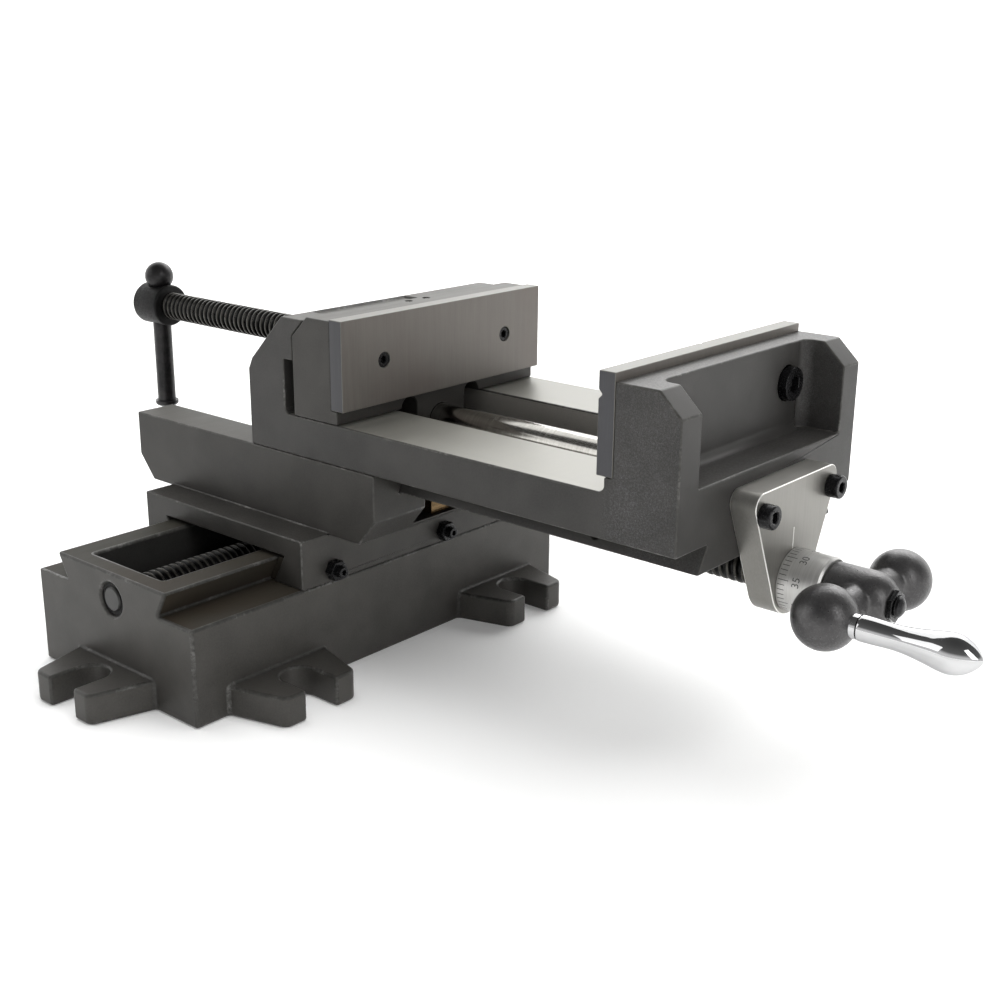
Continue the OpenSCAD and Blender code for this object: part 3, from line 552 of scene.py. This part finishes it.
# the end bush is painted near black as a painted shadow for the gap round the screw end
paint("lower_end_bush", [], SHADOW_BUSH)
paint("upper_dial", [], DIAL_X)
paint("lower_dial", [], DIAL_Y)
paint("screw_retaining_pins", [], ROD)
for n in ("lower_bracket_screws", "upper_bracket_screws", "lower_nut_screws", "upper_nut_screws", "lower_gib_screws",
          "upper_gib_screws", "lower_gib_locknuts", "upper_gib_locknuts", "fixed_jaw_screws", "movable_jaw_screws",
          "upper_dial_screw", "lower_dial_screw", "upper_crank_nut", "lower_crank_nut"):
    paint(n, [], BLACK)
for n in ("tommy_bar", "tommy_ball", "tommy_end_cap"):
    paint(n, [], BAR)
for n in ("upper_grip_spindle", "lower_grip_spindle"):
    paint(n, [], CHROME)

round_edges("base_casting", 0.0016, 3, 5)
round_edges("saddle_casting", 0.0008, 2, 3)
round_edges("vise_body_casting", 0.0008, 2, 3)
round_edges("movable_jaw_casting", 0.0006, 2, 2)
round_edges("fixed_jaw_plate", 0.0003, 1, 3)
round_edges("movable_jaw_plate", 0.0003, 1, 3)
round_edges("upper_screw_bracket", 0.0004, 2, 1)
round_edges("lower_screw_bracket", 0.0004, 2, 1)
for n in ("lower_bracket_screws", "upper_bracket_screws"):
    round_edges(n, 0.0008, 3)
for n in ("lower_gib_screws", "upper_gib_screws", "lower_gib_locknuts", "upper_gib_locknuts", "upper_crank_nut", "lower_crank_nut",
          "fixed_jaw_screws", "movable_jaw_screws"):
    round_edges(n, 0.0003, 2)


# ---------------------------------------------------------------- clamp screw

HEAD_X = -0.1800
head_at = place((HEAD_X, SY, CLAMP_Z), "x")
profile = ([(0.0, 0.0)] + arc(0.0111, 0.0016, 0.0016, -90, 0, 5) + arc(0.0112, 0.0215, 0.0015, 0, 90, 5) + [(0.0, 0.0230)])
head = raw("clamp_screw_head", *revolve(profile, 72, head_at))
bar_x = -0.1678
cutters = []
hole = raw("cut_a", *revolve([(0, -0.02), (0.0057, -0.02), (0.0057, 0.02), (0, 0.02)], 48, place((bar_x, SY, CLAMP_Z), "z")))
cutters.append(hole)
for s in (-1, 1):
    ball = [(0.009 * math.sin(math.radians(a)), -0.009 * math.cos(math.radians(a))) for a in range(0, 181, 6)]
    ball[0], ball[-1] = (0.0, -0.009), (0.0, 0.009)
    cutters.append(raw("cut_b", *revolve(ball, 48, place((bar_x, SY, CLAMP_Z + s * 0.0174), "z"))))
baked(head, *[("BOOLEAN", {"operation": "DIFFERENCE", "object": c, "solver": "EXACT"}) for c in cutters])
for c in cutters:
    drop(c)
dress(head, HEAD, "clamp_screw", "clamp_screw", 40)
thread("clamp_screw_thread", 0.0064, 0.0082, 0.2060, place((-0.1570, SY, CLAMP_Z), "x"), CLAMP_THREAD, "clamp_screw")
v, f = revolve([(0, 0), (0.006, 0), (0.006, 0.0139), (0, 0.0139)], 48, place((0.0490, SY, CLAMP_Z), "x"))
make("clamp_screw_nose", v, f, BLACK, "clamp_screw")


# ---------------------------------------------------------------- lead screws, cranks, grips, dials

def voxel(ob, size, rounds, factor=0.5):
    """Melts touching solids into one skin with soft fillets where they meet."""
    return baked(ob, ("REMESH", {"mode": "VOXEL", "voxel_size": size}), ("SMOOTH", {"factor": factor, "iterations": rounds}))


def crank_set(tag, face, along, thread_len, thread_mat, root, number_from, tail, lean):
    """Lead screw, ball crank, stud, grip and dial marks of one end, outward from the face that carries its bracket."""
    at = place(face, along)
    turned_at = at @ Matrix.Rotation(math.radians(lean), 4, "Z")
    body, grip_body = tag + "_crank", tag + "_grip"
    inner = at @ Matrix.Translation((0, 0, -thread_len))
    thread(tag + "_screw_thread", root, 0.0080, thread_len - 0.0003, inner, thread_mat, body, tag + "_lead_screw")
    v, f = revolve([(0, -0.0006), (0.0065, -0.0006), (0.0065, 0.0334), (0.005, 0.0334), (0.005, 0.0610), (0, 0.0610)], 48, at)
    make(tag + "_screw_journal", v, f, BLACK, body)
    thread(tag + "_screw_stud", 0.0041, 0.0048, 0.0040, at @ Matrix.Translation((0, 0, 0.0608)), BLACK, body,
           segments=32, pitch=0.00125)
    v, f = revolve([(0, 0.0644), (0.0044, 0.0644), (0.0043, 0.0652), (0.0026, 0.0664), (0.0012, 0.0666), (0, 0.0666)], 32, at)
    make(tag + "_screw_point", v, f, BLACK, body)
    if tail:
        end = at @ Matrix.Translation((0, 0, -thread_len - tail))
        v, f = revolve([(0, 0), (0.0057, 0), (0.0064, 0.0007), (0.0065, tail + 0.001), (0, tail + 0.001)], 64, end)
        make(tag + "_screw_tail", v, f, TAIL, body)

    # three-ball crank: barrel hub, two balls and the neck, melted together
    z0, zb = 0.0331, 0.0481
    hub = ([(0, z0), (0.0125, z0), (0.0129, z0 + 0.0005), (0.0129, z0 + 0.0180)]
           + [(0.0129 - 0.0052 * t ** 2.2, z0 + 0.0180 + 0.0103 * t) for t in (0.2, 0.4, 0.55, 0.7, 0.85, 1.0)]
           + [(0.0, z0 + 0.0283)])
    parts = [revolve(hub, 64, at)]
    for s in (-1, 1):
        ball = [(0.0142 * math.sin(math.radians(a)), -0.0142 * math.cos(math.radians(a))) for a in range(0, 181, 5)]
        ball[0], ball[-1] = (0.0, -0.0142), (0.0, 0.0142)
        parts.append(revolve(ball, 64, turned_at @ arm_matrix(along, s, zb)))
    neck_at = turned_at @ Matrix.Translation((0, 0, zb)) @ Matrix.Rotation(math.radians(90), 4, "Y" if along == "x" else "X")
    parts.append(revolve([(0, -ARM), (0.0082, -ARM), (0.0078, -0.018), (0.0086, 0), (0.0078, 0.018), (0.0082, ARM), (0, ARM)], 48, neck_at))
    verts, faces = [], []
    for pv, pf in parts:
        k = len(verts)
        verts += pv
        faces += [tuple(i + k for i in face) for face in pf]
    crank = raw(tag + "_crank_body", verts, faces)
    voxel(crank, 0.0007, 14)
    dress(crank, CRANK, body, tag + "_ball_crank", 60)

    # swelling grip with a pointed end
    grip_at = turned_at @ arm_matrix(along, -1, 0)
    g0 = 0.0641
    pts = [(0.0055, 0.0004), (0.00565, 0.0012), (0.0056, 0.0050), (0.0054, 0.0100), (0.0053, 0.0150), (0.0056, 0.0200),
           (0.0063, 0.0250), (0.0072, 0.0300), (0.0081, 0.0345), (0.0085, 0.0385), (0.0080, 0.0420), (0.0066, 0.0453),
           (0.0046, 0.0480), (0.0024, 0.0501), (0.0008, 0.0510), (0.0, 0.0512)]
    prof = [(0.0, 0.0), (0.0052, 0.0)] + curve_profile(pts, 6)
    prof[-1] = (0.0, prof[-1][1])
    v, f = revolve([(r, h + g0) for r, h in prof], 96, grip_at)
    make(tag + "_grip_shell", v, f, CHROME, grip_body, tag + "_crank_grip", 60)
    dial_marks(tag, at, along, body, number_from)


def arm_matrix(along, side, height):
    """Offset to a crank ball: the arms lie along row Y for the upper crank and along row X for the lower one."""
    off = side * ARM
    return Matrix.Translation((off, 0, height)) if along == "x" else Matrix.Translation((0, -off, height))


def wrap(radius, angle, height):
    return Vector((radius * math.cos(angle), radius * math.sin(angle), height))


def dial_marks(tag, at, along, body, zero):
    """Forty divisions and a number at every fifth, inked on the dial."""
    r0, r1 = 0.01425, 0.01434
    z_in = BRACKET_T + 0.0008
    verts, faces = [], []
    for i in range(40):
        a = math.radians(zero + 9 * i)
        long = 0.0050 if i % 5 == 0 else 0.0034
        half = 0.00017 / r1
        ring = []
        for z in (z_in, z_in + long):
            for aa, rr in ((a - half, r0), (a - half, r1), (a + half, r1), (a + half, r0)):
                ring.append(len(verts))
                verts.append(at @ wrap(rr, aa, z))
        b = ring
        faces += [(b[0], b[1], b[2], b[3]), (b[7], b[6], b[5], b[4]), (b[1], b[5], b[6], b[2]), (b[0], b[4], b[5], b[1]),
                  (b[2], b[6], b[7], b[3]), (b[3], b[7], b[4], b[0])]
    make(tag + "_dial_divisions", verts, faces, INK, body, angle=20)
    bm_all = bmesh.new()
    for k in range(8):
        text = bpy.data.curves.new("digits", "FONT")
        text.body = str(5 * k)
        text.size = 0.0050
        text.align_x = "CENTER"
        text.align_y = "CENTER"
        text.extrude = 0.00005
        text.resolution_u = 3
        tob = bpy.data.objects.new("digits", text)
        bpy.context.scene.collection.objects.link(tob)
        bpy.context.view_layer.update()
        me = bpy.data.meshes.new_from_object(tob.evaluated_get(bpy.context.evaluated_depsgraph_get()))
        drop(tob)
        bpy.data.curves.remove(text)
        bm = bmesh.new()
        bm.from_mesh(me)
        bmesh.ops.subdivide_edges(bm, edges=[e for e in bm.edges if e.calc_length() > 0.0008], cuts=2)
        a0 = math.radians(zero + 45 * k)
        for vert in bm.verts:
            x, y, z = vert.co
            # digits read along the rim, with their tops towards the bracket
            vert.co = at @ wrap(0.01431 + z * 0.6, a0 - x / 0.0143, BRACKET_T + 0.0095 - y)
        bm.to_mesh(me)
        bm.free()
        bm_all.from_mesh(me)
        bpy.data.meshes.remove(me)
    me = bpy.data.meshes.new(tag + "_dial_numbers")
    bm_all.to_mesh(me)
    bm_all.free()
    ob = bpy.data.objects.new(tag + "_dial_numbers", me)
    bpy.context.scene.collection.objects.link(ob)
    dress(ob, INK, body, None, 20)


# angle of the zero mark: local x of the upper frame is row Y and local y is row Z
crank_set("upper", (END_X, SY, UPPER_Z), "x", 0.2423, UPPER_THREAD, 0.0062, 118.5 - 45 * 6, 0.0, -3.0)
crank_set("lower", (0.0, END_Y, LOWER_Z), "y", 0.2591, LOWER_THREAD, 0.0062, 180.0, 0.0100, 0.0)


def scribe(name, corners, body):
    """Index line scribed on a bracket, as a thin bright sliver."""
    verts = [Vector(c) for c in corners]
    make(name, verts, [(0, 1, 2, 3), (7, 6, 5, 4), (0, 4, 5, 1), (1, 5, 6, 2), (2, 6, 7, 3), (3, 7, 4, 0)], SCRIBE, body, angle=20)


xf = END_X + BRACKET_T
y0, w = SY - 0.0012, 0.00028
scribe("upper_index_line", [(xf - 1e-4, y0 - w, 0.1024), (xf - 1e-4, y0 + w, 0.1024), (xf - 1e-4, y0 + w, 0.1125), (xf - 1e-4, y0 - w, 0.1125),
                            (xf + 5e-5, y0 - w, 0.1024), (xf + 5e-5, y0 + w, 0.1024), (xf + 5e-5, y0 + w, 0.1125), (xf + 5e-5, y0 - w, 0.1125)], "vise_body")
yf = END_Y + BRACKET_T
scribe("lower_index_line", [(-w, yf - 1e-4, 0.0355), (w, yf - 1e-4, 0.0355), (w, yf - 1e-4, 0.0256), (-w, yf - 1e-4, 0.0256),
                            (-w, yf + 5e-5, 0.0355), (w, yf + 5e-5, 0.0355), (w, yf + 5e-5, 0.0256), (-w, yf + 5e-5, 0.0256)], "base")


# ---------------------------------------------------------------- floor, light, camera

def stage_material():
    m = Tree("floor_pale", 0.0)
    m.bsdf.inputs["Specular IOR Level"].default_value = 0.15
    color = m.mix(m.spread(m.noise(3, 2), 0.3, 0.7), (0.90, 0.90, 0.895), (0.92, 0.92, 0.915))
    m.bsdf.inputs["Emission Color"].default_value = (1, 1, 1, 1)
    far = m.t.nodes.new("ShaderNodeVectorMath")
    far.operation = "LENGTH"
    m.t.links.new(m.obj, far.inputs[0])
    m.t.links.new(m.spread(far.outputs["Value"], 0.7, 2.6, 0.12, 1.0, smooth=True), m.bsdf.inputs["Emission Strength"])
    return m.finish(color, 0.85)


pts = [(-9.0, 0.0), (2.2, 0.0)] + [(2.2 + 1.2 * math.sin(math.radians(a)), 1.2 - 1.2 * math.cos(math.radians(a))) for a in range(10, 91, 10)] + [(3.4, 7.0)]
az = math.radians(40.45)
fwd = Vector((-math.sin(az), math.cos(az), 0))
side = Vector((math.cos(az), math.sin(az), 0))
verts, faces = [], []
for d, h in pts:
    for s in (-9, 9):
        verts.append(fwd * d + side * s + Vector((0, 0, h - 0.0002)))
for i in range(len(pts) - 1):
    faces.append((2 * i, 2 * i + 1, 2 * i + 3, 2 * i + 2))
me = bpy.data.meshes.new("floor")
me.from_pydata(verts, [], faces)
floor = bpy.data.objects.new("floor", me)
bpy.context.scene.collection.objects.link(floor)
me.materials.append(stage_material())
me.polygons.foreach_set("use_smooth", [True] * len(me.polygons))

world = bpy.data.worlds.new("studio")
bpy.context.scene.world = world
world.use_nodes = True
wt = world.node_tree
wt.nodes.clear()
wo = wt.nodes.new("ShaderNodeOutputWorld")
bg = wt.nodes.new("ShaderNodeBackground")
co = wt.nodes.new("ShaderNodeTexCoord")
sep = wt.nodes.new("ShaderNodeSeparateXYZ")
ramp = wt.nodes.new("ShaderNodeValToRGB")
wt.links.new(co.outputs["Generated"], sep.inputs[0])
wt.links.new(sep.outputs[2], ramp.inputs[0])
ramp.color_ramp.elements[0].position = 0.0
ramp.color_ramp.elements[0].color = (0.90, 0.90, 0.90, 1)
ramp.color_ramp.elements[1].position = 1.0
ramp.color_ramp.elements[1].color = (0.07, 0.07, 0.07, 1)
for spot, grey in ((0.20, 0.80), (0.42, 0.16)):
    ramp.color_ramp.elements.new(spot).color = (grey, grey, grey, 1)
wt.links.new(ramp.outputs[0], bg.inputs[0])
bg.inputs[1].default_value = 1.0
wt.links.new(bg.outputs[0], wo.inputs[0])


def area(name, place_at, target, size, power, tint=(1, 1, 1)):
    light = bpy.data.lights.new(name, "AREA")
    light.shape = "RECTANGLE"
    light.size, light.size_y = size
    light.energy = power
    light.color = tint
    ob = bpy.data.objects.new(name, light)
    bpy.context.scene.collection.objects.link(ob)
    ob.location = place_at
    ob.rotation_mode = "QUATERNION"
    ob.rotation_quaternion = (Vector(target) - Vector(place_at)).to_track_quat("-Z", "Y")
    return ob


mid = (0.10, 0.02, 0.08)
top = area("overhead", (0.15, 0.15, 1.7), mid, (2.0, 1.6), 30)
top.visible_glossy = False
area("left_front", (-1.2, -1.3, 1.0), mid, (1.2, 1.0), 6)
area("right_front", (1.7, -0.3, 0.9), mid, (0.6, 1.2), 7)
area("back_top", (-0.3, 1.5, 1.2), mid, (1.6, 0.8), 14)

cam_data = bpy.data.cameras.new("photo_view")
cam = bpy.data.objects.new("photo_view", cam_data)
bpy.context.scene.collection.objects.link(cam)
cam_data.sensor_width = 36.0
cam_data.lens = 50.6
cam_data.clip_start = 0.02
cam_data.clip_end = 50.0
el, roll = math.radians(17.78), math.radians(0.52)
back = Vector((math.sin(az) * math.cos(el), -math.cos(az) * math.cos(el), math.sin(el)))
right = Vector((math.cos(az), math.sin(az), 0.0))
upv = back.cross(right)
r2 = right * math.cos(roll) + upv * math.sin(roll)
u2 = upv * math.cos(roll) - right * math.sin(roll)
cam.matrix_world = Matrix(((r2.x, u2.x, back.x, 0.56643), (r2.y, u2.y, back.y, -0.50270), (r2.z, u2.z, back.z, 0.31132), (0, 0, 0, 1)))
bpy.context.scene.camera = cam
bpy.context.scene.view_settings.view_transform = "Standard"
bpy.context.scene.view_settings.look = "None"
